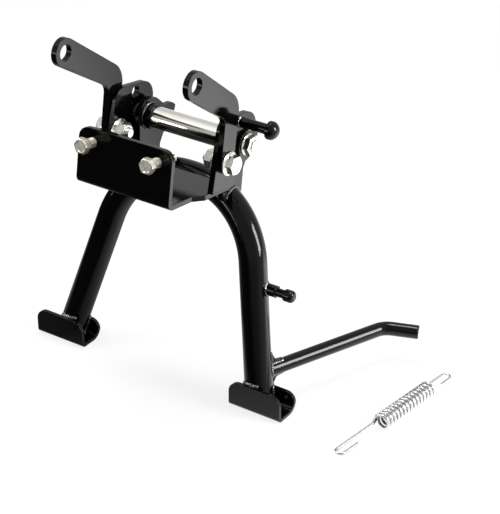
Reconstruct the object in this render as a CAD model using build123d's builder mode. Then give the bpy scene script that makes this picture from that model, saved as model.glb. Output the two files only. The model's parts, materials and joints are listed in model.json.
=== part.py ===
from build123d import *
from math import asin, cos, hypot, pi, radians, sin, tan
import os

# Motorcycle centre stand, millimetres. X runs across the machine, Y to its rear, Z up.
# The origin is the middle of the left arm's bore. Left and right are those of the photograph.
os.makedirs("parts", exist_ok=True)

# Driving dimensions of the bracket
plate_thickness = 6.0       # arms, side plates and stand lugs
arm_inner = 65.0            # inner face of each arm, from the middle plane
bracket_lean = 9.85         # the bracket leans back from the ground, degrees
left_bore = (-115.2, 78.1)  # arm bores from the pivot: along the bracket, up the bracket
right_bore = (-97.8, 75.2)
arm_bore_diameter = 16.0
arm_end_radius = 14.0
left_arm_slopes = (27.2, 23.5)   # top and bottom edges, degrees
right_arm_slopes = (29.3, 26.7)
arm_leg_front = -46.0
arm_leg_rear = -25.0
arm_outer_elbow = 24.0
arm_inner_elbow = 10.0
arm_bolt_at = (-34.0, -11.0)
plate_foot_front = -47.2
plate_foot_rear = -15.3
plate_top_front = -41.1
plate_top = 31.5
plate_top_rear = {"left": 19.0, "right": 14.0}
plate_rear_radius = 19.0
plate_front_corner = 14.0
plate_rear_corner = 18.0
plate_waist = ((0.0, -17.0), (-7.9, -31.0))
pin_at = (-10.5, 23.5)
spare_hole_diameter = 11.5  # left plate, where the right one has its pin
wall_thickness = 5.0        # cross plate
wall_front = -102.0
wall_half_width = 54.0
wall_top = 9.5
wall_corner = 11.0
bend_radius = 7.5           # outside of the bend
floor_rear = -12.5
floor_rear_top = -39.7
floor_fall = 2.1            # the floor falls to the front, degrees
floor_half_width = 61.0
flare_start = -65.0
flare_end = -53.0

# Driving dimensions of the stand
pivot_height = 250.3        # above the ground, stand down
leg_rake = 15.4             # legs lean forward to the feet, degrees
tube_setback = 13.25        # tube plane behind the pivot
tube_diameter = 28.0
tube_wall = 2.5
arch_drop = 49.0            # pivot to the middle of the tube at the top of the arch
arch_flat = 2.9             # half of the straight at the top
arch_radius = 86.0
leg_splay = 13.3            # degrees
lug_inner = 47.0
lug_front = 16.5            # edges from the line down to the tube
lug_rear = 15.0
lug_head_radius = 18.0
lug_end = 58.0
lug_foot = (-4.0, -64.4)    # middle of the tube where a lug meets it, from the pivot
beak_root = ((12.0, 14.5), (25.1, 1.9))
beak_tips = ((36.7, 0.4), (41.8, -3.8), (38.8, -11.0))
beak_heel = ((20.5, -27.0), (14.8, -35.5))
beak_tip_radius = 2.0
collar_diameter = 26.0
collar_width = 8.0
foot_width = 59.0
foot_shift = 1.5            # middle of the foot outside the leg's
foot_lap = 1.1              # the leg's front reaches into the front wall
foot_room = 2.5             # rear wall behind the leg
foot_front_height = 29.0
foot_rear_height = 19.5
foot_step = 18.5            # of the rear wall, left out at its left end
foot_thickness = 3.5
foot_rear_bend = 12.0
foot_front_bend = 5.0
foot_front_corner = 12.0
foot_rear_corner = 10.0
lever_diameter = 14.6
lever_height = 33.5         # above the ground
lever_offset = (1.7, -0.9)  # its start from the middle of the leg, across and back
lever_arm = (57.7, 141.4)
lever_pedal = (34.5, 12.3)
lever_bend_radius = 20.0
rib_thickness = 5.0
rib_rise = 19.0
rib_reach = 13.0            # out from the leg
rib_nose = 8.0
rib_lip = 2.0               # over the lever
leg_pin_drop = 137.0        # below the pivot
leg_pin_offset = 4.0        # behind the middle of the leg
leg_pin_length = 44.0
leg_pin_shaft = 8.8
leg_pin_collar = 12.0
leg_pin_collar_length = 10.0
leg_pin_head = 12.5
leg_pin_head_length = 10.0
leg_pin_round = 4.0

# Driving dimensions of the fasteners and the spring
sleeve_diameter = 22.0
pivot_bolt_diameter = 12.0
pivot_bolt_flats = 18.0
pivot_head_height = 7.5
pivot_nut_height = 7.5
pivot_bolt_end = 77.0
washer_diameter = 28.0
washer_thickness = 3.0
arm_bolt_diameter = 10.0
arm_bolt_flats = 17.0
flange_diameter = 23.5
flange_thickness = 3.0
arm_bolt_head = 6.5
arm_nut_height = 8.0
arm_bolt_proud = 4.0
set_screw_diameter = 10.0
set_screw_flats = 14.0
set_screw_at = (37.6, -4.0)  # across, up the bracket
set_screw_head = 6.5
set_screw_stand_off = 11.5
set_screw_end = -78.0
weld_nut_height = 8.0
bracket_pin_spigot = 9.0
bracket_pin_shaft = 10.5
bracket_pin_head = 18.0
bracket_pin_end = 97.0
bracket_pin_head_length = 10.0
bracket_pin_rim = 3.5
spring_diameter = 18.0
spring_wire = 3.3
spring_turns = 15
spring_length = 79.2        # of the coil
spring_offset = (31.7, -128.4)  # its start from the lever's end
spring_turned = 82.9        # from the X axis, degrees
long_hook_reach = 65.6
long_hook_opening = 41.0
short_hook_reach = 31.0
short_hook_opening = 12.0
hook_radius = 4.6

# Clearances
running_clearance = 0.05    # radial, turning or sliding pairs
bolt_clearance = 0.25       # radial, bolts in plain holes
edge_chamfer = 0.6

# Derived
lean = radians(bracket_lean)
middle = arm_inner + plate_thickness / 2
pivot_y = -(left_bore[0] * cos(lean) + left_bore[1] * sin(lean))
pivot_z = -(left_bore[1] * cos(lean) - left_bore[0] * sin(lean))
ground = pivot_z - pivot_height
plate_inner = arm_inner - plate_thickness
lug_outer = lug_inner + plate_thickness
lug_bore = sleeve_diameter / 2 + running_clearance
pivot_hole = pivot_bolt_diameter / 2 + bolt_clearance
arm_bolt_hole = arm_bolt_diameter / 2 + bolt_clearance
sides = (("left", -1), ("right", 1))
rake = radians(leg_rake)
splay = radians(leg_splay)
arc_end = (
    arch_flat + arch_radius * cos(splay),
    -arch_drop - arch_radius + arch_radius * sin(splay),
)


def save(builder, name):
    builder.part.label = name
    export_step(builder.part, f"parts/{name}.step")


def bracket_point(across, along, up):
    return (
        middle + across,
        pivot_y + along * cos(lean) + up * sin(lean),
        pivot_z + up * cos(lean) - along * sin(lean),
    )


def bracket_plane(across, along=0.0, up=0.0):
    """Looks along +X; its own x runs back along the bracket."""
    return Plane(
        origin=bracket_point(across, along, up),
        x_dir=(0, cos(lean), -sin(lean)),
        z_dir=(1, 0, 0),
    )


def screw_plane(across, along, up):
    """Square to the bracket's length, for what screws in from the front."""
    return Plane(
        origin=bracket_point(across, along, up),
        x_dir=(1, 0, 0),
        z_dir=(0, cos(lean), -sin(lean)),
    )


def pivot_plane(across, back=0.0, up=0.0, facing=1):
    """Upright plane at an offset from the pivot, facing across the machine."""
    return Plane(
        origin=(middle + across, pivot_y + back, pivot_z + up),
        x_dir=(0, 1, 0),
        z_dir=(facing, 0, 0),
    )


def floor_at(along):
    """Height up the bracket of the cross plate's floor."""
    return floor_rear_top - (floor_rear - along) * tan(radians(floor_fall))


def leg_at(below):
    """Across and back from the pivot, the middle of the right leg at a depth below it."""
    up_tube = (tube_setback * sin(rake) - below) / cos(rake)
    return (
        arc_end[0] + (arc_end[1] - up_tube) * tan(splay),
        tube_setback * cos(rake) + up_tube * sin(rake),
    )


def outward(plane, sign):
    """The same plane turned to face away from the middle on either side."""
    return Plane(origin=plane.origin, x_dir=plane.x_dir, z_dir=plane.z_dir * sign)


# Side plates of the bracket
for side, sign in sides:
    inner_face = plate_inner if sign > 0 else -arm_inner
    upper_hole = bracket_pin_spigot if sign > 0 else spare_hole_diameter
    with BuildPart() as side_plate:
        with BuildSketch(bracket_plane(inner_face)) as plate_outline:
            with BuildLine():
                Polyline(
                    (plate_foot_front, floor_at(plate_foot_front)),
                    (plate_top_front, plate_top),
                    (plate_top_rear[side], plate_top),
                    (plate_rear_radius, 0),
                    *plate_waist,
                    (plate_foot_rear, floor_at(plate_foot_rear)),
                    close=True,
                )
            make_face()
            front_corner = (plate_top_front, plate_top, 0)
            rear_corner = (plate_top_rear[side], plate_top, 0)
            fillet(plate_outline.vertices().sort_by_distance(front_corner)[0], plate_front_corner)
            fillet(plate_outline.vertices().sort_by_distance(rear_corner)[0], plate_rear_corner)
            Circle(plate_rear_radius)
            Circle(pivot_hole, mode=Mode.SUBTRACT)
            with Locations(arm_bolt_at):
                Circle(arm_bolt_hole, mode=Mode.SUBTRACT)
            with Locations(pin_at):
                Circle(upper_hole / 2, mode=Mode.SUBTRACT)
        extrude(amount=plate_thickness)
    save(side_plate, f"{side}_side_plate")

# Arms, which differ in reach and slope
for side, sign, bore_at, slopes in (
    ("left", -1, left_bore, left_arm_slopes),
    ("right", 1, right_bore, right_arm_slopes),
):
    top_slope = radians(slopes[0])
    bottom_slope = radians(slopes[1])
    top_start = (
        bore_at[0] + arm_end_radius * sin(top_slope),
        bore_at[1] + arm_end_radius * cos(top_slope),
    )
    bottom_start = (
        bore_at[0] - arm_end_radius * sin(bottom_slope),
        bore_at[1] - arm_end_radius * cos(bottom_slope),
    )
    elbow = (arm_leg_rear, top_start[1] - (arm_leg_rear - top_start[0]) * tan(top_slope))
    crook = (arm_leg_front, bottom_start[1] - (arm_leg_front - bottom_start[0]) * tan(bottom_slope))
    inner_face = arm_inner if sign > 0 else -arm_inner - plate_thickness
    with BuildPart() as arm:
        with BuildSketch(bracket_plane(inner_face)) as arm_outline:
            with BuildLine():
                Polyline(
                    top_start,
                    elbow,
                    (arm_leg_rear, arm_bolt_at[1]),
                    (arm_leg_front, arm_bolt_at[1]),
                    crook,
                    bottom_start,
                    close=True,
                )
            make_face()
            fillet(arm_outline.vertices().sort_by_distance((*elbow, 0))[0], arm_outer_elbow)
            fillet(arm_outline.vertices().sort_by_distance((*crook, 0))[0], arm_inner_elbow)
            with Locations(bore_at):
                Circle(arm_end_radius)
                Circle(arm_bore_diameter / 2, mode=Mode.SUBTRACT)
            with Locations(((arm_leg_front + arm_leg_rear) / 2, arm_bolt_at[1])):
                Circle((arm_leg_rear - arm_leg_front) / 2)
            with Locations(arm_bolt_at):
                Circle(arm_bolt_hole, mode=Mode.SUBTRACT)
        extrude(amount=plate_thickness)
    save(arm, f"{side}_arm")

# Cross plate: front wall and floor bent from one sheet
wall_back = wall_front + wall_thickness
sheet_drop = wall_thickness / cos(radians(floor_fall))
with BuildPart() as cross_plate:
    with BuildSketch(bracket_plane(-floor_half_width)) as bend_profile:
        with BuildLine():
            Polyline(
                (wall_front, wall_top),
                (wall_front, floor_at(wall_front) - sheet_drop),
                (floor_rear, floor_at(floor_rear) - sheet_drop),
                (floor_rear, floor_at(floor_rear)),
                (wall_back, floor_at(wall_back)),
                (wall_back, wall_top),
                close=True,
            )
        make_face()
        outer_bend = (wall_front, floor_at(wall_front) - sheet_drop, 0)
        inner_bend = (wall_back, floor_at(wall_back), 0)
        fillet(bend_profile.vertices().sort_by_distance(outer_bend)[0], bend_radius)
        fillet(bend_profile.vertices().sort_by_distance(inner_bend)[0], bend_radius - wall_thickness)
    extrude(amount=2 * floor_half_width)
    plan = Plane(origin=bracket_point(0, 0, 0), x_dir=(1, 0, 0), z_dir=(0, sin(lean), cos(lean)))
    with BuildSketch(plan):
        with BuildLine() as half_plan:
            Polyline(
                (0, wall_front),
                (wall_half_width, wall_front),
                (wall_half_width, flare_start),
                (floor_half_width, flare_end),
                (floor_half_width, floor_rear),
                (0, floor_rear),
            )
            mirror(about=Plane.YZ)
        make_face()
    extrude(amount=-wall_front, both=True, mode=Mode.INTERSECT)
    up_bracket = Axis(bracket_point(0, 0, 0), (0, sin(lean), cos(lean)))
    fillet(cross_plate.edges().group_by(up_bracket)[-1].sort_by(SortBy.LENGTH)[:2], wall_corner)
    for side, sign in sides:
        with BuildSketch(screw_plane(sign * set_screw_at[0], wall_front, set_screw_at[1])):
            Circle(set_screw_diameter / 2 + bolt_clearance)
        extrude(amount=wall_thickness, mode=Mode.SUBTRACT)
save(cross_plate, "cross_plate")

# Set screws in weld nuts behind the front wall
for side, sign in sides:
    screw_x = sign * set_screw_at[0]
    with BuildPart() as weld_nut:
        with BuildSketch(screw_plane(screw_x, wall_back, set_screw_at[1])):
            RegularPolygon(set_screw_flats / 2, 6, major_radius=False)
            Circle(set_screw_diameter / 2 + running_clearance, mode=Mode.SUBTRACT)
        extrude(amount=weld_nut_height)
    save(weld_nut, f"{side}_weld_nut")

    head_front = wall_front - set_screw_stand_off - set_screw_head
    with BuildPart() as set_screw:
        with BuildSketch(screw_plane(screw_x, head_front, set_screw_at[1])):
            RegularPolygon(set_screw_flats / 2, 6, major_radius=False)
        extrude(amount=set_screw_head)
        with BuildSketch(screw_plane(screw_x, head_front + set_screw_head, set_screw_at[1])):
            Circle(set_screw_diameter / 2)
        extrude(amount=set_screw_end - head_front - set_screw_head)
        screw_axis = Axis(bracket_point(0, 0, 0), (0, cos(lean), -sin(lean)))
        chamfer(set_screw.edges().group_by(screw_axis)[-1], edge_chamfer * 2)
    save(set_screw, f"{side}_set_screw")

# Flanged bolts and nuts that hold the arms
for side, sign in sides:
    arm_outer = arm_inner + plate_thickness
    with BuildPart() as arm_bolt:
        with BuildSketch(outward(bracket_plane(sign * arm_outer, *arm_bolt_at), sign)):
            Circle(flange_diameter / 2)
        extrude(amount=flange_thickness)
        chamfer(arm_bolt.edges().sort_by(Axis.X, reverse=sign < 0)[-1], edge_chamfer)
        with BuildSketch(outward(bracket_plane(sign * (arm_outer + flange_thickness), *arm_bolt_at), sign)):
            RegularPolygon(arm_bolt_flats / 2, 6, major_radius=False)
        extrude(amount=arm_bolt_head)
        with BuildSketch(outward(bracket_plane(sign * arm_outer, *arm_bolt_at), -sign)):
            Circle(arm_bolt_diameter / 2)
        extrude(amount=2 * plate_thickness + flange_thickness + arm_nut_height + arm_bolt_proud)
        chamfer(arm_bolt.edges().sort_by(Axis.X, reverse=sign > 0)[-1], edge_chamfer)
    save(arm_bolt, f"{side}_arm_bolt")

    with BuildPart() as arm_nut:
        with BuildSketch(outward(bracket_plane(sign * plate_inner, *arm_bolt_at), -sign)):
            Circle(flange_diameter / 2)
        extrude(amount=flange_thickness)
        nut_seat = sign * (plate_inner - flange_thickness)
        with BuildSketch(outward(bracket_plane(nut_seat, *arm_bolt_at), -sign)):
            RegularPolygon(arm_bolt_flats / 2, 6, major_radius=False)
        extrude(amount=arm_nut_height)
        with BuildSketch(outward(bracket_plane(sign * plate_inner, *arm_bolt_at), -sign)):
            Circle(arm_bolt_diameter / 2)
        extrude(amount=flange_thickness + arm_nut_height, mode=Mode.SUBTRACT)
    save(arm_nut, f"{side}_arm_nut")

# Pivot: sleeve clamped between the side plates by one long bolt
with BuildPart() as pivot_sleeve:
    with BuildSketch(pivot_plane(-plate_inner)):
        Circle(sleeve_diameter / 2)
        Circle(pivot_hole, mode=Mode.SUBTRACT)
    extrude(amount=2 * plate_inner)
save(pivot_sleeve, "pivot_sleeve")

for side, sign in sides:
    with BuildPart() as washer:
        with BuildSketch(pivot_plane(sign * arm_inner, facing=sign)):
            Circle(washer_diameter / 2)
            Circle(pivot_hole, mode=Mode.SUBTRACT)
        extrude(amount=washer_thickness)
    save(washer, f"{side}_pivot_washer")

head_seat = arm_inner + washer_thickness
with BuildPart() as pivot_bolt:
    with BuildSketch(pivot_plane(-head_seat - pivot_head_height)):
        RegularPolygon(pivot_bolt_flats / 2, 6, major_radius=False)
    extrude(amount=pivot_head_height)
    with BuildSketch(pivot_plane(-head_seat)):
        Circle(pivot_bolt_diameter / 2)
    extrude(amount=head_seat + pivot_bolt_end)
    chamfer(pivot_bolt.edges().sort_by(Axis.X)[-1], edge_chamfer * 2)
save(pivot_bolt, "pivot_bolt")

with BuildPart() as pivot_nut:
    with BuildSketch(pivot_plane(head_seat)):
        RegularPolygon(pivot_bolt_flats / 2, 6, major_radius=False)
        Circle(pivot_bolt_diameter / 2, mode=Mode.SUBTRACT)
    extrude(amount=pivot_nut_height)
save(pivot_nut, "pivot_nut")

# Upper spring pin, riveted into the right side plate
pin_origin = bracket_point(0, *pin_at)
shank_radius = bracket_pin_shaft / 2
head_radius = bracket_pin_head / 2
head_rim = bracket_pin_end + bracket_pin_rim
pin_tip = bracket_pin_end + bracket_pin_head_length
dome_height = pin_tip - head_rim
dome_radius = (dome_height**2 + head_radius**2) / (2 * dome_height)
dome_angle = asin(head_radius / dome_radius) / 2
with BuildPart() as bracket_spring_pin:
    with BuildSketch(Plane(origin=pin_origin, x_dir=(1, 0, 0), z_dir=(0, 0, 1))):
        with BuildLine():
            Polyline(
                (head_rim, head_radius),
                (bracket_pin_end, head_radius),
                (bracket_pin_end, shank_radius),
                (arm_inner, shank_radius),
                (arm_inner, bracket_pin_spigot / 2),
                (plate_inner, bracket_pin_spigot / 2),
                (plate_inner, 0),
                (pin_tip, 0),
            )
            ThreePointArc(
                (pin_tip, 0),
                (pin_tip - dome_radius * (1 - cos(dome_angle)), dome_radius * sin(dome_angle)),
                (head_rim, head_radius),
            )
        make_face()
    revolve(axis=Axis(pin_origin, (1, 0, 0)))
save(bracket_spring_pin, "bracket_spring_pin")

# Leg tube: one arch with two splayed legs
leg_plane = Plane(
    origin=(middle, pivot_y + tube_setback * cos(rake), pivot_z - tube_setback * sin(rake)),
    x_dir=(1, 0, 0),
    z_dir=(0, -cos(rake), sin(rake)),
)
leg_run = (pivot_height + tube_diameter) / cos(rake) + arc_end[1]
leg_end = (arc_end[0] + leg_run * tan(splay), arc_end[1] - leg_run)
half_angle = (pi / 2 - splay) / 2
arc_middle = (
    arch_flat + arch_radius * sin(half_angle),
    -arch_drop - arch_radius + arch_radius * cos(half_angle),
)
with BuildLine(leg_plane) as leg_path:
    Line((-leg_end[0], leg_end[1]), (-arc_end[0], arc_end[1]))
    ThreePointArc((-arc_end[0], arc_end[1]), (-arc_middle[0], arc_middle[1]), (-arch_flat, -arch_drop))
    Line((-arch_flat, -arch_drop), (arch_flat, -arch_drop))
    ThreePointArc((arch_flat, -arch_drop), arc_middle, arc_end)
    Line(arc_end, leg_end)

sole_across, sole_back = leg_at(pivot_height)
foot_front = sole_back - tube_diameter / 2 + foot_lap
foot_rear = foot_front + tube_diameter + foot_room
inner_floor = ground + foot_thickness
front_inner_face = pivot_y + foot_front + foot_thickness

leg_parts = []
for inner_radius in (0, tube_diameter / 2 - tube_wall):
    with BuildPart() as leg:
        with BuildSketch(Plane(origin=leg_path.wires()[0] @ 0, z_dir=leg_path.wires()[0] % 0)):
            Circle(tube_diameter / 2)
            if inner_radius:
                Circle(inner_radius, mode=Mode.SUBTRACT)
        sweep(path=leg_path.wires()[0])
        # ends are level on the feet and flat against their front walls
        with Locations((middle, pivot_y, inner_floor - tube_diameter)):
            Box(4 * arch_radius, 4 * arch_radius, 2 * tube_diameter, mode=Mode.SUBTRACT)
        with Locations((middle, front_inner_face - tube_diameter, inner_floor)):
            Box(4 * arch_radius, 2 * tube_diameter, 2 * tube_diameter, mode=Mode.SUBTRACT)
    leg_parts.append(leg)
leg_solid, leg_tube = leg_parts
save(leg_tube, "leg_tube")

# Lugs that carry the stand on the sleeve, each with a collar
lug_length = hypot(*lug_foot)
lug_down = (lug_foot[0] / lug_length, lug_foot[1] / lug_length)
lug_back = (-lug_down[1], lug_down[0])


def lug_point(back, down):
    return (
        back * lug_back[0] + down * lug_down[0],
        back * lug_back[1] + down * lug_down[1],
    )


for side, sign in sides:
    inner_face = lug_inner if sign > 0 else -lug_outer
    with BuildPart() as lug:
        with BuildSketch(pivot_plane(inner_face)) as lug_outline:
            with BuildLine():
                Polyline(
                    (0, 0),
                    *beak_root,
                    *beak_tips,
                    *beak_heel,
                    lug_point(lug_rear, lug_end),
                    lug_point(-lug_front, lug_end),
                    lug_point(-lug_front, 0),
                    close=True,
                )
            make_face()
            tips = [lug_outline.vertices().sort_by_distance((*tip, 0))[0] for tip in beak_tips]
            fillet(tips, beak_tip_radius)
            Circle(lug_head_radius)
            Circle(lug_bore, mode=Mode.SUBTRACT)
        extrude(amount=plate_thickness)
        add(leg_solid.part, mode=Mode.SUBTRACT)
    save(lug, f"{side}_lug")

    with BuildPart() as collar:
        with BuildSketch(pivot_plane(sign * lug_inner, facing=-sign)):
            Circle(collar_diameter / 2)
            Circle(lug_bore, mode=Mode.SUBTRACT)
        extrude(amount=collar_width)
    save(collar, f"{side}_hub_collar")

# Feet: bent plates open upwards, the legs welded into them
feet = {}
for side, sign in sides:
    foot_start = sign * (sole_across + foot_shift) - foot_width / 2
    with BuildPart() as foot:
        with BuildSketch(pivot_plane(foot_start, up=-pivot_height)) as foot_profile:
            with BuildLine():
                Polyline(
                    (foot_front, foot_front_height),
                    (foot_front, 0),
                    (foot_rear, 0),
                    (foot_rear, foot_rear_height),
                    (foot_rear - foot_thickness, foot_rear_height),
                    (foot_rear - foot_thickness, foot_thickness),
                    (foot_front + foot_thickness, foot_thickness),
                    (foot_front + foot_thickness, foot_front_height),
                    close=True,
                )
            make_face()
            for corner, radius in (
                ((foot_front, 0, 0), foot_front_bend),
                ((foot_front + foot_thickness, foot_thickness, 0), foot_front_bend - foot_thickness),
                ((foot_rear, 0, 0), foot_rear_bend),
                ((foot_rear - foot_thickness, foot_thickness, 0), foot_rear_bend - foot_thickness),
            ):
                fillet(foot_profile.vertices().sort_by_distance(corner)[0], radius)
        extrude(amount=foot_width)
        with Locations((middle + foot_start, pivot_y + foot_rear, ground)):
            Box(2 * foot_step, 2 * foot_rear_bend, 2 * foot_front_height, mode=Mode.SUBTRACT)
        fillet(foot.edges().filter_by(Axis.Y).group_by(Axis.Z)[-1], foot_front_corner)
        rear_top = ground + foot_rear_height
        rear_edges = foot.edges().filter_by(Axis.Y).filter_by_position(Axis.Z, rear_top, rear_top)
        fillet(rear_edges, foot_rear_corner)
        add(leg_solid.part, mode=Mode.SUBTRACT)
    save(foot, f"{side}_foot")
    feet[side] = foot

# Foot lever on the right leg, with a rib above and below
lever_z = ground + lever_height
leg_there = leg_at(pivot_height - lever_height)
lever_start = (leg_there[0] + lever_offset[0], leg_there[1] + lever_offset[1])
lever_bend = (lever_start[0] + lever_arm[0], lever_start[1] + lever_arm[1])
lever_end = (lever_bend[0] + lever_pedal[0], lever_bend[1] + lever_pedal[1])
with BuildLine(Plane(origin=(middle, pivot_y, lever_z))) as lever_path:
    FilletPolyline(lever_start, lever_bend, lever_end, radius=lever_bend_radius)
with BuildPart() as foot_lever:
    with BuildSketch(Plane(origin=lever_path.wires()[0] @ 0, z_dir=lever_path.wires()[0] % 0)):
        Circle(lever_diameter / 2)
    sweep(path=lever_path.wires()[0])
    chamfer(foot_lever.edges().filter_by(GeomType.CIRCLE).sort_by(Axis.X)[-1], edge_chamfer * 2)
    add(leg_solid.part, mode=Mode.SUBTRACT)
save(foot_lever, "foot_lever")

lever_along = (lever_arm[0] / hypot(*lever_arm), lever_arm[1] / hypot(*lever_arm))
rib_foot = tube_diameter / 2 + rib_reach
for name, up in (("upper_lever_rib", 1), ("lower_lever_rib", -1)):
    rib_origin = (
        middle + lever_start[0] - lever_along[1] * rib_thickness / 2,
        pivot_y + lever_start[1] + lever_along[0] * rib_thickness / 2,
        lever_z,
    )
    with BuildPart() as rib:
        rib_plane = Plane(
            origin=rib_origin,
            x_dir=(*lever_along, 0),
            z_dir=(lever_along[1], -lever_along[0], 0),
        )
        with BuildSketch(rib_plane):
            with BuildLine():
                Polyline(
                    (0, 0),
                    (rib_foot, 0),
                    (rib_foot, up * lever_diameter / 2),
                    (rib_foot - rib_nose, up * (lever_diameter / 2 + rib_lip)),
                    (tube_diameter / 2, up * rib_rise),
                    (0, up * rib_rise),
                    close=True,
                )
            make_face()
        extrude(amount=rib_thickness)
        add(leg_solid.part, mode=Mode.SUBTRACT)
        add(foot_lever.part, mode=Mode.SUBTRACT)
        add(feet["right"].part, mode=Mode.SUBTRACT)
    save(rib, name)

# Lower spring pin on the right leg
leg_there = leg_at(leg_pin_drop)
pin_start = (middle + leg_there[0], pivot_y + leg_there[1] + leg_pin_offset, pivot_z - leg_pin_drop)
with BuildPart() as leg_spring_pin:
    for start, end, diameter in (
        (0, leg_pin_length - leg_pin_head_length, leg_pin_shaft),
        (0, tube_diameter / 2 + leg_pin_collar_length, leg_pin_collar),
        (leg_pin_length - leg_pin_head_length, leg_pin_length, leg_pin_head),
    ):
        with BuildSketch(Plane(origin=pin_start, z_dir=(1, 0, 0)).offset(start)):
            Circle(diameter / 2)
        extrude(amount=end - start)
    rim = leg_spring_pin.edges().filter_by(GeomType.CIRCLE).group_by(Axis.X)[-1]
    fillet(rim, leg_pin_round)
    add(leg_solid.part, mode=Mode.SUBTRACT)
save(leg_spring_pin, "leg_spring_pin")

# Return spring, lying loose on the ground
coil_along = (cos(radians(spring_turned)), sin(radians(spring_turned)), 0)
coil_side = (-coil_along[1], coil_along[0], 0)
coil_radius = (spring_diameter - spring_wire) / 2
coil_middle = (
    middle + lever_end[0] + spring_offset[0],
    pivot_y + lever_end[1] + spring_offset[1],
    ground + spring_diameter / 2,
)
coil_plane = Plane(origin=coil_middle, x_dir=coil_side, z_dir=coil_along)
coil = coil_plane * Helix(pitch=spring_length / spring_turns, height=spring_length, radius=coil_radius)
wire_paths = [coil]
for end, away, reach, opening in (
    (0, -1, long_hook_reach, long_hook_opening),
    (spring_length, 1, short_hook_reach, short_hook_opening),
):
    turn = end + away * (reach - hook_radius)
    leaves_coil = end + away * 2 * spring_wire
    with BuildLine(Plane(origin=coil_middle, x_dir=coil_along, z_dir=(0, 0, 1))) as hook:
        Line((end + away * opening, -hook_radius), (turn, -hook_radius))
        ThreePointArc((turn, -hook_radius), (end + away * reach, 0), (turn, hook_radius))
        Line((turn, hook_radius), (leaves_coil, hook_radius))
        Line((leaves_coil, hook_radius), (end - away * spring_wire / 2, coil_radius))
    wire_paths.append(hook.wires()[0])
with BuildPart() as return_spring:
    for path in wire_paths:
        with BuildSketch(Plane(origin=path @ 0, z_dir=path % 0)):
            Circle(spring_wire / 2)
        sweep(path=path, transition=Transition.ROUND)
save(return_spring, "return_spring")
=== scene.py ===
# Looks and studio for the motorcycle centre stand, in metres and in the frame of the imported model.
import json
import math

import bmesh
import bpy
from mathutils import Matrix, Vector
from mathutils.bvhtree import BVHTree


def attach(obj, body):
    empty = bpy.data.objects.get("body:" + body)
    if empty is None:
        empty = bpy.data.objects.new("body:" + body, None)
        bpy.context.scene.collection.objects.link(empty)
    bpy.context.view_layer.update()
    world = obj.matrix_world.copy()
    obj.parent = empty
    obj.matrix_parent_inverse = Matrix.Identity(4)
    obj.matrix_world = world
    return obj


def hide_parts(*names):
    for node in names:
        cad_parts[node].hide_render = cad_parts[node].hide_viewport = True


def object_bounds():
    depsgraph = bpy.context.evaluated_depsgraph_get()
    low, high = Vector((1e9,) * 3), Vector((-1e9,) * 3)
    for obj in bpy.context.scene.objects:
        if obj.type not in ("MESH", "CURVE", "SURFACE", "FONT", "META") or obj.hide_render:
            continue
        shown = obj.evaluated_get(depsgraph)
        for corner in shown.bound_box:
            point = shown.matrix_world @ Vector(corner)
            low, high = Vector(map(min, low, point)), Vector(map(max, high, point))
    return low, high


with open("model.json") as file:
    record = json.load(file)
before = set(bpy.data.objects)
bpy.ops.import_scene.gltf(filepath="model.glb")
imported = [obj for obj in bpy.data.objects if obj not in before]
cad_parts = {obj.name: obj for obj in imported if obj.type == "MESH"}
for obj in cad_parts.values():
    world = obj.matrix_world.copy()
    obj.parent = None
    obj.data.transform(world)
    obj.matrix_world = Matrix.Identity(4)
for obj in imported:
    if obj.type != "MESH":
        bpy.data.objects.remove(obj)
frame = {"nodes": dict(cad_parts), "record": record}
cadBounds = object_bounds()
print("frame loaded:", len(frame["nodes"]), "nodes")

toRight = Vector((1, 0, 0))
toRear = Vector((0, 1, 0))
bracketLean = math.radians(9.85)
alongBracket = Vector((0, math.cos(bracketLean), -math.sin(bracketLean)))

noiseMiddle = (0.3, 0.7)    # noise seldom leaves these limits
edgeSamples = 6             # rays that look for an edge close by, to round it


def feed(links, value, socket):
    # a socket takes what another node puts out, or else a plain value
    if isinstance(value, bpy.types.NodeSocket):
        links.new(value, socket)
    elif socket.type == "RGBA":
        socket.default_value = (*value, 1)
    else:
        socket.default_value = value


def noiseOf(nodes, links, place, scale, detail):
    noise = nodes.new("ShaderNodeTexNoise")
    noise.inputs["Scale"].default_value = scale
    noise.inputs["Detail"].default_value = detail
    links.new(place, noise.inputs["Vector"])
    return noise.outputs["Fac"]


def rangeOf(nodes, links, value, results, limits=noiseMiddle):
    # goes from one result to the other while the value runs from one limit to the other
    spread = nodes.new("ShaderNodeMapRange")
    for name, number in zip(("From Min", "From Max", "To Min", "To Max"), (*limits, *results)):
        spread.inputs[name].default_value = number
    links.new(value, spread.inputs["Value"])
    return spread.outputs["Result"]


def mathOf(nodes, links, operation, first, second):
    result = nodes.new("ShaderNodeMath")
    result.operation = operation
    feed(links, first, result.inputs[0])
    feed(links, second, result.inputs[1])
    return result.outputs["Value"]


def vectorOf(nodes, links, operation, first, second=None):
    result = nodes.new("ShaderNodeVectorMath")
    result.operation = operation
    links.new(first, result.inputs[0])
    if second is not None:
        result.inputs[1].default_value = second
    isNumber = operation in ("DOT_PRODUCT", "LENGTH", "DISTANCE")
    return result.outputs["Value" if isNumber else "Vector"]


def mixOf(nodes, links, kind, share, first, second):
    mix = nodes.new("ShaderNodeMix")
    mix.data_type = kind
    links.new(share, mix.inputs["Factor"])
    feed(links, first, mix.inputs["A"])
    feed(links, second, mix.inputs["B"])
    return mix.outputs["Result"]


def bumpOf(nodes, links, height, depth, normal=None):
    bump = nodes.new("ShaderNodeBump")
    bump.inputs["Strength"].default_value = 1.0
    bump.inputs["Distance"].default_value = depth
    links.new(height, bump.inputs["Height"])
    if normal:
        links.new(normal, bump.inputs["Normal"])
    return bump.outputs["Normal"]


def roundedEdges(nodes, radius):
    bevel = nodes.new("ShaderNodeBevel")
    bevel.samples = edgeSamples
    bevel.inputs["Radius"].default_value = radius
    return bevel.outputs["Normal"]


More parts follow.
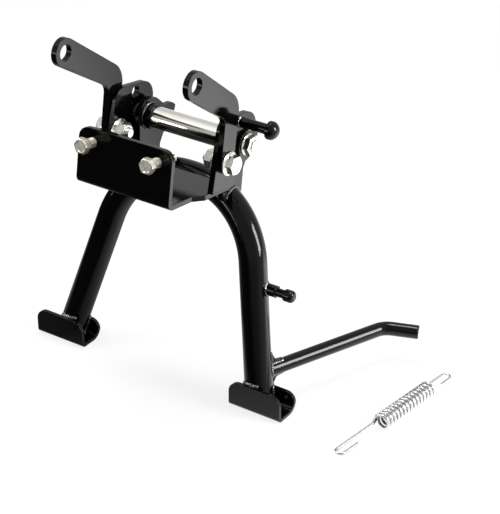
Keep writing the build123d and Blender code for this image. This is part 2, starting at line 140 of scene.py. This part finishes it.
def newMaterial(name):
    material = bpy.data.materials.new(name)
    material.use_nodes = True
    material.node_tree.nodes.clear()
    return material, material.node_tree.nodes, material.node_tree.links


def newFinish(name):
    # a material with its shader in place, and the place on the part that its textures follow
    material, nodes, links = newMaterial(name)
    place = nodes.new("ShaderNodeTexCoord").outputs["Object"]
    shader = nodes.new("ShaderNodeBsdfPrincipled")
    output = nodes.new("ShaderNodeOutputMaterial")
    links.new(shader.outputs["BSDF"], output.inputs["Surface"])
    return material, nodes, links, place, shader.inputs


# Black powder coat on all that is cut from plate, tube and rod. Patches, peel and dust are noises,
# each with its scale and detail
powderCoat = {
    "colour": (0.0012, 0.0012, 0.0013),
    "gloss": 1.32,                # index of refraction of the clear skin
    "roughness": (0.03, 0.08),    # smoothest and dullest patches
    "patches": (38.0, 3.0),
    "peel": (900.0, 1.0),         # orange peel
    "peelDepth": 0.00004,
    "dust": (240.0, 6.0),
    "dustLimits": (0.55, 0.8),    # noise at which dust starts and is full
    "dustPaler": 2.2,             # times as pale as the coat
    "edgeRadius": 0.0009,
}

# The same coat over the ripples of a weld
weldedCoat = {
    "colour": (0.002, 0.002, 0.0021),
    "gloss": 2.0,
    "roughness": (0.04, 0.12),
    "patches": (300.0, 3.0),
    "peel": (1700.0, 1.0),
    "peelDepth": 0.00008,
    "dust": (500.0, 6.0),
    "dustLimits": (0.55, 0.8),
    "dustPaler": 2.2,
    "edgeRadius": 0.0003,
}


def makePowderCoat(name, look):
    material, nodes, links, place, shader = newFinish(name)
    shader["IOR"].default_value = look["gloss"]
    patches = noiseOf(nodes, links, place, *look["patches"])
    links.new(rangeOf(nodes, links, patches, look["roughness"]), shader["Roughness"])
    dust = noiseOf(nodes, links, place, *look["dust"])
    dust = rangeOf(nodes, links, dust, (0.0, 1.0), look["dustLimits"])
    paler = tuple(look["dustPaler"] * channel for channel in look["colour"])
    links.new(mixOf(nodes, links, "RGBA", dust, look["colour"], paler), shader["Base Color"])
    peel = noiseOf(nodes, links, place, *look["peel"])
    edges = roundedEdges(nodes, look["edgeRadius"])
    links.new(bumpOf(nodes, links, peel, look["peelDepth"], edges), shader["Normal"])
    return material


# Ground and zinc plated tube of the pivot sleeve
sleeveZinc = {
    "pale": (0.88, 0.86, 0.80),
    "dark": (0.78, 0.76, 0.70),
    "roughness": (0.09, 0.16),
    "metallic": 1.0,
    "clouds": (60.0, 5.0),
    "cloudLimits": (0.35, 0.75),  # noise at which the dark clouds start and are full
    "grain": (3200.0, 2.0),
    "grainDepth": 0.000003,
    "edgeRadius": 0.0004,
}

# Zinc on bolts and nuts, cloudier and a little yellow
boltPlate = {
    "pale": (0.88, 0.86, 0.80),
    "dark": (0.55, 0.53, 0.48),
    "roughness": (0.08, 0.2),
    "metallic": 0.94,
    "clouds": (260.0, 5.0),
    "cloudLimits": (0.35, 0.75),
    "grain": (1900.0, 2.0),
    "grainDepth": 0.000012,
    "edgeRadius": 0.0002,
}

# Duller plating of the set screws
screwPlate = {
    "pale": (0.87, 0.84, 0.72),
    "dark": (0.38, 0.36, 0.29),
    "roughness": (0.26, 0.38),
    "metallic": 0.9,
    "clouds": (420.0, 5.0),
    "cloudLimits": (0.35, 0.75),
    "grain": (1900.0, 2.0),
    "grainDepth": 0.000012,
    "edgeRadius": 0.0002,
}


def makeZinc(name, look):
    material, nodes, links, place, shader = newFinish(name)
    shader["Metallic"].default_value = look["metallic"]
    clouds = noiseOf(nodes, links, place, *look["clouds"])
    darker = rangeOf(nodes, links, clouds, (0.0, 1.0), look["cloudLimits"])
    links.new(mixOf(nodes, links, "RGBA", darker, look["pale"], look["dark"]), shader["Base Color"])
    links.new(rangeOf(nodes, links, clouds, look["roughness"]), shader["Roughness"])
    grain = noiseOf(nodes, links, place, *look["grain"])
    edges = roundedEdges(nodes, look["edgeRadius"])
    links.new(bumpOf(nodes, links, grain, look["grainDepth"], edges), shader["Normal"])
    return material


def spanOf(node, direction):
    # start and length of a turned part along its axis
    places = [vertex.co for vertex in frame["nodes"][node].data.vertices]
    side = direction.orthogonal().normalized()
    start = Vector()
    for way in (side, direction.cross(side)):
        reaches = [place.dot(way) for place in places]
        start += way * (min(reaches) + max(reaches)) / 2
    along = [place.dot(direction) for place in places]
    return start + direction * min(along), max(along) - min(along)


# Drawn wire of the return spring
springWire = {
    "pale": (0.66, 0.66, 0.66),
    "dark": (0.36, 0.36, 0.37),
    "paintedShadeColour": (0.05, 0.05, 0.052),      # painted shade on the inner side of the coils, towards the axis
    "paintedShadeFrom": (0.0072, 0.0058),     # distances from the axis where that starts and is full
    "coilFrom": 0.0082,                 # only coils lie further from the axis than this
    "coilEasing": 0.001,                # length in which the painted shade starts at either end of the coils
    "turned": 82.9,                     # of the axis from the X axis, degrees
    "metallic": 1.0,
    "roughness": (0.18, 0.34),
    "streaks": (1500.0, 4.0),
    "streakLimits": (0.4, 0.8),         # noise at which the dark streaks start and are full
    "streakDepth": 0.00001,
}


def paintedShadeOfCoils(nodes, links, place, look):
    # mask of the painted shade: 1 on the inner side of the coils and 0 on the outside and the hooks
    turned = math.radians(look["turned"])
    along = Vector((math.cos(turned), math.sin(turned), 0))
    start = spanOf("return_spring", along)[0]
    reaches = [vertex.co - start for vertex in frame["nodes"]["return_spring"].data.vertices]
    inCoil = [reach.dot(along) for reach in reaches if reach.cross(along).length > look["coilFrom"]]
    first, last, easing = min(inCoil), max(inCoil), look["coilEasing"]
    fromStart = vectorOf(nodes, links, "SUBTRACT", place, start)
    across = vectorOf(nodes, links, "CROSS_PRODUCT", fromStart, along)
    fromAxis = vectorOf(nodes, links, "LENGTH", across)
    isDeep = rangeOf(nodes, links, fromAxis, (0.0, 1.0), look["paintedShadeFrom"])
    run = vectorOf(nodes, links, "DOT_PRODUCT", fromStart, along)
    started = rangeOf(nodes, links, run, (0.0, 1.0), (first, first + easing))
    notEnded = rangeOf(nodes, links, run, (1.0, 0.0), (last - easing, last))
    isCoil = mathOf(nodes, links, "MULTIPLY", started, notEnded)
    return mathOf(nodes, links, "MULTIPLY", isDeep, isCoil)


def makeSpringWire(name, look):
    material, nodes, links, place, shader = newFinish(name)
    shader["Metallic"].default_value = look["metallic"]
    streaks = noiseOf(nodes, links, place, *look["streaks"])
    darker = rangeOf(nodes, links, streaks, (0.0, 1.0), look["streakLimits"])
    outside = mixOf(nodes, links, "RGBA", darker, look["pale"], look["dark"])
    isPaintedShade = paintedShadeOfCoils(nodes, links, place, look)
    # painted shade: the wire darkens towards the axis on the inner side of the coils
    links.new(mixOf(nodes, links, "RGBA", isPaintedShade, outside, look["paintedShadeColour"]), shader["Base Color"])
    links.new(rangeOf(nodes, links, streaks, look["roughness"]), shader["Roughness"])
    links.new(bumpOf(nodes, links, streaks, look["streakDepth"]), shader["Normal"])
    return material


coat = makePowderCoat("blackPowderCoat", powderCoat)
weldCoat = makePowderCoat("weldedPowderCoat", weldedCoat)
sleeveMetal = makeZinc("sleeveZinc", sleeveZinc)
boltZinc = makeZinc("boltZinc", boltPlate)
screwZinc = makeZinc("screwZinc", screwPlate)
wire = makeSpringWire("springWire", springWire)
finishes = {"black_powder_coat": coat, "zinc_plate": sleeveMetal, "spring_steel": wire}
for part in frame["record"]["subparts"]:
    slots = frame["nodes"][part["node"]].data.materials
    slots.clear()
    slots.append(finishes[part["material_slot"]])
print("finishes set on every node")


sharpFrom = math.radians(35)    # two faces that meet more steeply than this keep a sharp edge


def addStack(points, faces, rings, endless=False):
    # joins rings of points, one above the other, to a closed skin
    first, count, last = len(points), len(rings[0]), len(rings) - 1
    for ring in rings:
        points.extend(ring)
    for row in range(last + endless):
        lower = first + row * count
        upper = first + (row + 1) % len(rings) * count
        for index in range(count):
            following = (index + 1) % count
            faces.append((lower + index, lower + following, upper + following, upper + index))
    if not endless:
        faces.append(tuple(first + index for index in reversed(range(count))))
        faces.append(tuple(first + last * count + index for index in range(count)))


def makePiece(name, points, faces, finish, body):
    mesh = bpy.data.meshes.new(name)
    mesh.from_pydata(points, [], faces)
    shape = bmesh.new()
    shape.from_mesh(mesh)
    bmesh.ops.recalc_face_normals(shape, faces=shape.faces)
    shape.to_mesh(mesh)
    shape.free()
    mesh.polygons.foreach_set("use_smooth", [True] * len(mesh.polygons))
    mesh.set_sharp_from_angle(angle=sharpFrom)
    mesh.materials.append(finish)
    piece = bpy.data.objects.new(name, mesh)
    bpy.context.scene.collection.objects.link(piece)
    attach(piece, body)
    return piece


# Screws, bolts and nuts, which the CAD parts leave plain. Sizes in metres
setScrew = {
    "flats": 0.014,               # width across the head's flats
    "head": 0.0065,               # height of the head
    "dish": 0.0008,               # depth of the hollow in it
    "shaft": 0.010,
    "pitch": 0.0015,
    "thread": 0.08,               # its length from the tip
}
armBolt = {
    "flats": 0.017,
    "head": 0.0065,
    "dish": 0.0005,
    "flange": 0.003,
    "flangeWidth": 0.0235,
    "shaft": 0.010,
    "pitch": 0.0015,
    "thread": 0.02,
}
pivotBolt = {
    "flats": 0.018,
    "head": 0.0075,
    "dish": 0.0005,
    "shaft": 0.012,
    "pitch": 0.00175,
    "thread": 0.022,
}
armNut = {"flats": 0.017, "flange": 0.003, "flangeWidth": 0.0235, "bore": 0.0101}
pivotNut = {"flats": 0.018, "flange": 0.0018, "flangeWidth": 0.0215, "bore": 0.0121}
weldNut = {"flats": 0.014, "bore": 0.0101}

# How every fastener is cut
cutting = {
    "segments": 48,
    "faceShare": 0.97,            # round face of a head, of its flats
    "chamferSlope": 0.45,
    "dishShares": (0.86, 0.78),   # rim and floor of the hollow in a head, of the face
    "flangeBreak": 0.0003,        # taken off the flange's lower edge
    "flangeRim": 0.45,            # height of its upright rim, of its thickness
    "flangeTop": 0.52,            # where its slope meets the head, of the flats
    "tipEasing": 0.2,             # taken off the tip of a shaft, of its radius
    "threadFrom": 0.21,           # from the tip, of the radius
    "threadClear": 0.0002,        # no thread nearer to the head than this
    "shaftSunk": 0.0005,          # end of the shaft inside the head
    "threadDepth": 0.55,          # of the pitch
    "threadFlank": 1.25,          # over 1, it leaves the roots a flat
    "stepsPerTurn": 8,
    "leastSteps": 4,
    "boreEasing": (0.0005, 0.0006),    # taken off the bore's edges, at the seat and on top
}


def ringAt(radius, height):
    # either may be a number, or depend on the turn round the axis
    ring = []
    for index in range(cutting["segments"]):
        turn = 2 * math.pi * index / cutting["segments"]
        reach = radius(turn) if callable(radius) else radius
        level = height(turn) if callable(height) else height
        ring.append(Vector((reach * math.cos(turn), reach * math.sin(turn), level)))
    return ring


def hexRings(flats, low, high, bothEnds=False):
    face = flats / 2 * cutting["faceShare"]

    def side(turn):
        return flats / 2 / math.cos(turn % (math.pi / 3) - math.pi / 6)

    def fall(turn):
        return (side(turn) - face) * cutting["chamferSlope"]

    rings = [ringAt(side, low)]
    if bothEnds:
        rings = [ringAt(face, low), ringAt(side, lambda turn: low + fall(turn))]
    return rings + [ringAt(side, lambda turn: high - fall(turn)), ringAt(face, high)]


def flangeRings(size):
    width, thickness, edge = size["flangeWidth"] / 2, size["flange"], cutting["flangeBreak"]
    return [
        ringAt(width - edge, 0.0),
        ringAt(width, edge),
        ringAt(width, cutting["flangeRim"] * thickness),
        ringAt(size["flats"] * cutting["flangeTop"], thickness),
    ]


def threadRings(radius, pitch, low, high):
    # a thread that runs out over one turn at either end
    steps = max(cutting["leastSteps"], round((high - low) / pitch * cutting["stepsPerTurn"]))
    rings = []
    for step in range(steps + 1):
        level = low + (high - low) * step / steps
        cutIn = min(1.0, (level - low) / pitch, (high - level) / pitch)
        depth = cutting["threadDepth"] * pitch * cutIn

        def reach(turn, level=level, depth=depth):
            phase = (level / pitch - turn / (2 * math.pi)) % 1.0
            return radius - depth * min(1.0, cutting["threadFlank"] * abs(2 * phase - 1))

        rings.append(ringAt(reach, level))
    return rings


def placed(points, origin, up, side):
    place = Matrix((side, up.cross(side), up)).transposed().to_4x4()
    place.translation = origin
    return [place @ point for point in points]


def makeBolt(node, body, size, outward, side, finish):
    top, length = spanOf(node, -outward)
    flange = size.get("flange", 0.0)
    crown = size["head"] + flange
    face = size["flats"] / 2 * cutting["faceShare"]
    dishRim, dishFloor = cutting["dishShares"]
    head = flangeRings(size) if flange else []
    head += hexRings(size["flats"], flange, crown)
    head += [ringAt(dishRim * face, crown), ringAt(dishFloor * face, crown - size["dish"])]
    tip, radius, easing = crown - length, size["shaft"] / 2, cutting["tipEasing"]
    threadStart = tip + cutting["threadFrom"] * radius
    threadEnd = min(-cutting["threadClear"], tip + size["thread"])
    shaft = [ringAt((1 - easing) * radius, tip), ringAt(radius, tip + easing * radius)]
    shaft += threadRings(radius, size["pitch"], threadStart, threadEnd)
    shaft.append(ringAt(radius, cutting["shaftSunk"]))
    points, faces = [], []
    addStack(points, faces, head)
    addStack(points, faces, shaft)
    points = placed(points, top - outward * crown, outward, side)
    piece = makePiece(node + "_cut", points, faces, finish, body)
    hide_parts(node)


def makeNut(node, body, size, outward, side):
    seat, height = spanOf(node, outward)
    flange, bore = size.get("flange", 0.0), size["bore"] / 2
    seatEasing, topEasing = cutting["boreEasing"]
    rings = [ringAt(bore, seatEasing), ringAt(bore + seatEasing, 0.0)]
    rings += flangeRings(size) if flange else []
    rings += hexRings(size["flats"], flange, height, bothEnds=not flange)
    rings += [ringAt(bore + topEasing, height), ringAt(bore, height - topEasing)]
    points, faces = [], []
    addStack(points, faces, rings, endless=True)
    points = placed(points, seat, outward, side)
    piece = makePiece(node + "_cut", points, faces, boltZinc, body)
    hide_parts(node)


for hand, outwards in (("left", -toRight), ("right", toRight)):
    makeBolt(hand + "_set_screw", hand + "_screw", setScrew, -alongBracket, toRight, screwZinc)
    makeNut(hand + "_weld_nut", "bracket", weldNut, alongBracket, toRight)
    makeBolt(hand + "_arm_bolt", "bracket", armBolt, outwards, alongBracket, boltZinc)
    makeNut(hand + "_arm_nut", "bracket", armNut, -outwards, alongBracket)
makeBolt("pivot_bolt", "bracket", pivotBolt, -toRight, toRear, boltZinc)
makeNut("pivot_nut", "bracket", pivotNut, toRight, toRear)
print("fasteners cut")


# How the parts of the CAD model are searched for places where two of them meet
seams = {
    "near": 0.00015,              # parts closer than this meet
    "sameCorner": 0.000002,       # corners closer than this are one
    "crease": 0.4,                # a seam runs along edges sharper than this, radians
    "shortest": 0.003,            # of a seam that is one straight edge
}


def treeOf(node):
    mesh = frame["nodes"][node].data
    places = [vertex.co for vertex in mesh.vertices]
    return BVHTree.FromPolygons(places, [polygon.vertices[:] for polygon in mesh.polygons])


def seamLines(carrier, other):
    # lines along the sharp edges of one part that lie on the other
    shape = bmesh.new()
    shape.from_mesh(frame["nodes"][carrier].data)
    bmesh.ops.remove_doubles(shape, verts=shape.verts, dist=seams["sameCorner"])
    tree = treeOf(other)
    touching = {
        vertex for vertex in shape.verts
        if tree.find_nearest(vertex.co, seams["near"])[0] is not None
    }
    left = {
        edge for edge in shape.edges
        if len(edge.link_faces) == 2 and edge.calc_face_angle() > seams["crease"]
        and edge.verts[0] in touching and edge.verts[1] in touching
    }
    lines = []
    while left:
        edge = min(left, key=lambda one: one.index)
        left.discard(edge)
        line = list(edge.verts)
        for _ in range(2):    # onwards from one end, then from the other
            following = True
            while following:
                following = [one for one in line[-1].link_edges if one in left]
                if following:
                    left.discard(following[0])
                    line.append(following[0].other_vert(line[-1]))
            line.reverse()
        lines.append([vertex.co.copy() for vertex in line])
    shape.free()
    return lines


# Weld beads where two parts meet
beads = {
    "radius": 0.0018,
    "slimRadius": 0.0013,
    "footRadius": 0.0023,
    "ripple": 0.3,                # of the radius
    "ripplePitch": 0.0023,
    "swell": 0.3,                 # slower waves added to the ripple, of its height
    "swellPace": 1.7,             # radians in one pitch of the ripple
    "swellShift": 3.0,            # radians in one metre of radius
    "endShare": 0.45,             # of the radius, where a bead starts and stops
    "endGrowth": 0.2,             # more at each step from there
    "step": 0.0006,
    "easings": 3,                 # times that the corners of a line are eased
    "sides": 8,
    "closedWithin": 0.00001,      # a line whose ends are closer than this goes round
    "overlap": 5,                 # steps that such a bead runs on over its start
}


def evenly(line):
    # the same line with points at equal steps, its corners eased
    lengths = [0.0]
    for first, second in zip(line, line[1:]):
        lengths.append(lengths[-1] + (second - first).length)
    count = max(2, round(lengths[-1] / beads["step"]))
    points, index = [], 0
    for number in range(count + 1):
        target = lengths[-1] * number / count
        while index < len(line) - 2 and lengths[index + 1] < target:
            index += 1
        share = (target - lengths[index]) / max(lengths[index + 1] - lengths[index], 1e-9)
        points.append(line[index].lerp(line[index + 1], share))
    for _ in range(beads["easings"]):
        triples = zip(points, points[1:], points[2:])
        inner = [(before + 2 * here + after) / 4 for before, here, after in triples]
        points = [points[0]] + inner + [points[-1]]
    return points


def beadRings(line, radius):
    closed = (line[0] - line[-1]).length < beads["closedWithin"]
    points = evenly(line)
    if closed:
        points = points + points[1:beads["overlap"] + 1]
    side = (points[1] - points[0]).orthogonal().normalized()
    turns = [2 * math.pi * number / beads["sides"] for number in range(beads["sides"])]
    rings = []
    for index, point in enumerate(points):
        before, after = points[max(index - 1, 0)], points[min(index + 1, len(points) - 1)]
        ahead = (after - before).normalized()
        side = (side - ahead * side.dot(ahead)).normalized()
        other = ahead.cross(side)
        run = index * beads["step"] / beads["ripplePitch"]
        swell = beads["swell"] * math.sin(beads["swellPace"] * run + beads["swellShift"] * radius)
        wave = abs(math.sin(math.pi * run)) + swell
        fromEnd = min(index, len(points) - 1 - index)
        ends = min(1.0, beads["endShare"] + beads["endGrowth"] * fromEnd)
        reach = radius * ends * (1 - beads["ripple"] + beads["ripple"] * wave)
        ways = [math.cos(turn) * side + math.sin(turn) * other for turn in turns]
        rings.append([point + reach * way for way in ways])
    return rings


def lengthOf(line):
    return sum((second - first).length for first, second in zip(line, line[1:]))


def weld(carrier, other, radius, body, onlyLongest=False):
    lines = [
        line for line in seamLines(carrier, other)
        if len(line) > 2 or (line[0] - line[-1]).length > seams["shortest"]
    ]
    if onlyLongest:
        lines = sorted(lines, key=lengthOf)[-1:]
    points, faces = [], []
    for line in lines:
        addStack(points, faces, beadRings(line, radius))
    print("weld", carrier, other, len(lines), "lines", len(points), "points")
    if points:
        name = "weld_" + carrier + "_" + other
        makePiece(name, points, faces, weldCoat, body)


# Bead between a leg and the top of the front wall of its foot
frontBead = {
    "radius": 0.0024,
    "reach": 0.0095,              # back along the leg, from the foot's front
    "sunk": (0, 0.6, 0.3),        # how far before and below the leg its middle lies, of the radius
    "wall": 0.0005,               # the front wall's face lies within this of the front
    "lookFrom": 0.02,             # before the foot, where the search for the leg starts
}


def weldFront(foot, tube, body):
    places = [vertex.co for vertex in frame["nodes"][foot].data.vertices]
    front = min(place.y for place in places)
    top = max(place.z for place in places if place.y < front + frontBead["wall"])
    left, right = min(place.x for place in places), max(place.x for place in places)
    tree, radius = treeOf(tube), frontBead["radius"]
    line = []
    for step in range(int((right - left) / beads["step"])):
        start = Vector((left + step * beads["step"], front - frontBead["lookFrom"], top))
        hit = tree.ray_cast(start, toRear)[0]
        if hit is not None and hit.y < front + frontBead["reach"]:
            line.append(hit - Vector(frontBead["sunk"]) * radius)
    points, faces = [], []
    addStack(points, faces, beadRings(line, radius))
    print("front weld", foot, len(points), "points")
    makePiece("weld_front_" + foot, points, faces, weldCoat, body)


for hand in ("left", "right"):
    weldFront(hand + "_foot", "leg_tube", "stand")
    weld(hand + "_lug", "leg_tube", beads["radius"], "stand")
    weld("leg_tube", hand + "_foot", beads["radius"], "stand", onlyLongest=True)
    weld(hand + "_foot", "leg_tube", beads["footRadius"], "stand")
    weld(hand + "_hub_collar", hand + "_lug", beads["slimRadius"], "stand", onlyLongest=True)
    weld(hand + "_side_plate", "cross_plate", beads["radius"], "bracket")
    weld(hand + "_weld_nut", "cross_plate", beads["slimRadius"], "bracket", onlyLongest=True)
weld("foot_lever", "leg_tube", beads["radius"], "stand")
weld("leg_spring_pin", "leg_tube", beads["slimRadius"], "stand")
weld("bracket_spring_pin", "right_side_plate", beads["slimRadius"], "bracket", onlyLongest=True)
for rib in ("upper_lever_rib", "lower_lever_rib"):
    weld(rib, "leg_tube", beads["slimRadius"], "stand")
    weld(rib, "foot_lever", beads["slimRadius"], "stand")
print("weld beads laid")


# What glossy parts mirror: pale on the bright side, with a sky low down and another high up.
# How far a direction or a place lies to a side is its dot product with that side
surroundings = {
    "plainLight": 0.55,                 # what lights dull surfaces from all round
    "brightSide": (0.5, 0.72, 0.25),
    "brightFrom": (-0.25, 0.45),        # how far to that side it starts and is full
    "darkLevel": 0.012,                 # away from that side
    "lowSky": 0.6,                      # just above the floor
    "lowSkyFrom": (0.05, 0.22),         # how steeply up it starts and is full
    "highSky": (0.55, 1.7),             # at the rear and at the front
    "highSkyTurn": (-0.8, 0.5),         # how far frontwards each is full
    "highSkyFrom": (0.66, 0.72),        # how steeply up it starts and is full
    "highSkySide": (-0.1, -0.35),       # how far to the right it starts and is full
    "highSkyAway": 0.2,                 # its share on the other side
}


def makeWorld():
    look = surroundings
    world = bpy.data.worlds.new("studioWorld")
    bpy.context.scene.world = world
    world.use_nodes = True
    nodes, links = world.node_tree.nodes, world.node_tree.links
    nodes.clear()
    path = nodes.new("ShaderNodeLightPath").outputs
    direction = nodes.new("ShaderNodeTexCoord").outputs["Generated"]
    side = vectorOf(nodes, links, "DOT_PRODUCT", direction, look["brightSide"])
    upwards = vectorOf(nodes, links, "DOT_PRODUCT", direction, (0, 0, 1))
    frontwards = vectorOf(nodes, links, "DOT_PRODUCT", direction, -toRear)
    rightwards = vectorOf(nodes, links, "DOT_PRODUCT", direction, toRight)
    sideLevel = rangeOf(nodes, links, side, (look["darkLevel"], 1.0), look["brightFrom"])
    lowSky = rangeOf(nodes, links, upwards, (0.0, look["lowSky"]), look["lowSkyFrom"])
    isHigh = rangeOf(nodes, links, upwards, (0.0, 1.0), look["highSkyFrom"])
    isThere = rangeOf(nodes, links, rightwards, (look["highSkyAway"], 1.0), look["highSkySide"])
    highShare = mathOf(nodes, links, "MULTIPLY", isHigh, isThere)
    highSky = rangeOf(nodes, links, frontwards, look["highSky"], look["highSkyTurn"])
    highSky = mathOf(nodes, links, "MULTIPLY", highShare, highSky)
    skyLevel = mathOf(nodes, links, "MAXIMUM", lowSky, highSky)
    glossLevel = mathOf(nodes, links, "MAXIMUM", sideLevel, skyLevel)
    level = mixOf(nodes, links, "FLOAT", path["Is Glossy Ray"], look["plainLight"], glossLevel)
    isSeen = mathOf(nodes, links, "MAXIMUM", path["Is Camera Ray"], path["Is Transmission Ray"])
    sky = nodes.new("ShaderNodeBackground")
    links.new(mixOf(nodes, links, "FLOAT", isSeen, level, 1.0), sky.inputs["Strength"])
    output = nodes.new("ShaderNodeOutputWorld")
    links.new(sky.outputs["Background"], output.inputs["Surface"])


# Pale floor, and what glossy parts mirror of it
studioFloor = {
    "size": 12.0,
    "gap": 0.0002,                      # under the lowest point of the stand
    "colour": (0.86, 0.86, 0.86),
    "cameraGlow": 0.8,                  # share of plain white in what the camera sees
    "brightFrom": (-0.12, 0.4),         # how far to the bright side it starts and is full
    "paperSide": (1.0, -1.0, 0.0),      # across this side runs a band that glows like white paper
    "paperFrom": (-0.22, -0.05),        # how far to that side the band starts and is full
    "paperTo": (0.2, 0.6),              # and starts to fade and is gone
    "paperLevels": (1.2, 3.5, 1.0),     # before the band, on it and past it
    "patchAt": (-0.25, 0.2, -0.347),    # a pale patch, mirrored along left edges
    "patchFrom": (0.32, 0.12),          # distances from there where it starts and is full
    "patchGlow": 0.45,
}


def glowOf(nodes, links, strength=1.0):
    glow = nodes.new("ShaderNodeEmission")
    feed(links, strength, glow.inputs["Strength"])
    return glow.outputs["Emission"]


def shaderMix(nodes, links, share, first, second):
    mix = nodes.new("ShaderNodeMixShader")
    links.new(share, mix.inputs["Fac"])
    links.new(first, mix.inputs[1])
    links.new(second, mix.inputs[2])
    return mix.outputs["Shader"]


def makeFloor():
    look = studioFloor
    size, floorZ = look["size"], cadBounds[0][2] - look["gap"]
    corners = [(x * size, y * size, floorZ) for x, y in ((-1, -1), (1, -1), (1, 1), (-1, 1))]
    mesh = bpy.data.meshes.new("studioFloor")
    mesh.from_pydata(corners, [], [(0, 1, 2, 3)])
    floor = bpy.data.objects.new("studioFloor", mesh)
    bpy.context.scene.collection.objects.link(floor)
    material, nodes, links = newMaterial("paleFloor")
    path = nodes.new("ShaderNodeLightPath").outputs
    place = nodes.new("ShaderNodeNewGeometry").outputs["Position"]
    side = vectorOf(nodes, links, "DOT_PRODUCT", place, surroundings["brightSide"])
    sideLevel = rangeOf(nodes, links, side, (surroundings["darkLevel"], 1.0), look["brightFrom"])
    paper = vectorOf(nodes, links, "DOT_PRODUCT", place, look["paperSide"])
    rising = rangeOf(nodes, links, paper, look["paperLevels"][:2], look["paperFrom"])
    falling = rangeOf(nodes, links, paper, look["paperLevels"][1:], look["paperTo"])
    paperLevel = mathOf(nodes, links, "MINIMUM", rising, falling)
    sideGlow = mathOf(nodes, links, "MULTIPLY", sideLevel, paperLevel)
    fromPatch = vectorOf(nodes, links, "DISTANCE", place, look["patchAt"])
    patchGlow = rangeOf(nodes, links, fromPatch, (0.0, look["patchGlow"]), look["patchFrom"])
    mirrored = glowOf(nodes, links, mathOf(nodes, links, "MAXIMUM", sideGlow, patchGlow))
    diffuse = nodes.new("ShaderNodeBsdfDiffuse")
    feed(links, look["colour"], diffuse.inputs["Color"])
    whiteShare = mathOf(nodes, links, "MULTIPLY", path["Is Camera Ray"], look["cameraGlow"])
    seen = shaderMix(nodes, links, whiteShare, diffuse.outputs["BSDF"], glowOf(nodes, links))
    surface = shaderMix(nodes, links, path["Is Glossy Ray"], seen, mirrored)
    output = nodes.new("ShaderNodeOutputMaterial")
    links.new(surface, output.inputs["Surface"])
    mesh.materials.append(material)


# Camera as the photograph was taken
photoCamera = {
    "aim": (0.15299, 0.07958, -0.20444),
    "azimuth": 34.18,
    "elevation": 29.48,
    "distance": 1.71311,
    "lens": 124.49,
}

# Soft boxes: place, size across and high, and power in watts. All face what the camera is aimed at
softBoxes = {
    "overhead": {"at": (-0.2, 0.3, 1.6), "size": (0.9, 0.5), "power": 22},
    "rightStrip": {"at": (1.7, 0.5, 0.5), "size": (0.55, 0.9), "power": 38},
    "leftStrip": {"at": (-1.3, -0.7, 0.5), "size": (0.2, 1.2), "power": 11},
    "frontFill": {"at": (-0.75, -1.4, 0.05), "size": (0.5, 0.3), "power": 3},
}


def makeSoftBoxes():
    target = Vector(photoCamera["aim"])
    for name, box in softBoxes.items():
        lamp = bpy.data.lights.new(name, "AREA")
        lamp.shape = "RECTANGLE"
        lamp.size, lamp.size_y = box["size"]
        lamp.energy = box["power"]
        holder = bpy.data.objects.new(name, lamp)
        holder.location = box["at"]
        holder.rotation_euler = (target - holder.location).to_track_quat("-Z", "Y").to_euler()
        bpy.context.scene.collection.objects.link(holder)


def makeCamera():
    azimuth = math.radians(photoCamera["azimuth"])
    elevation = math.radians(photoCamera["elevation"])
    back = Vector((
        math.sin(azimuth) * math.cos(elevation),
        -math.cos(azimuth) * math.cos(elevation),
        math.sin(elevation),
    ))
    lens = bpy.data.cameras.new("photoCamera")
    lens.lens = photoCamera["lens"]
    camera = bpy.data.objects.new("photoCamera", lens)
    camera.location = Vector(photoCamera["aim"]) + back * photoCamera["distance"]
    camera.rotation_euler = back.to_track_quat("Z", "Y").to_euler()
    bpy.context.scene.collection.objects.link(camera)
    bpy.context.scene.camera = camera


makeWorld()
makeFloor()
makeSoftBoxes()
makeCamera()
bpy.context.scene.view_settings.view_transform = "Standard"
print("studio and camera ready")
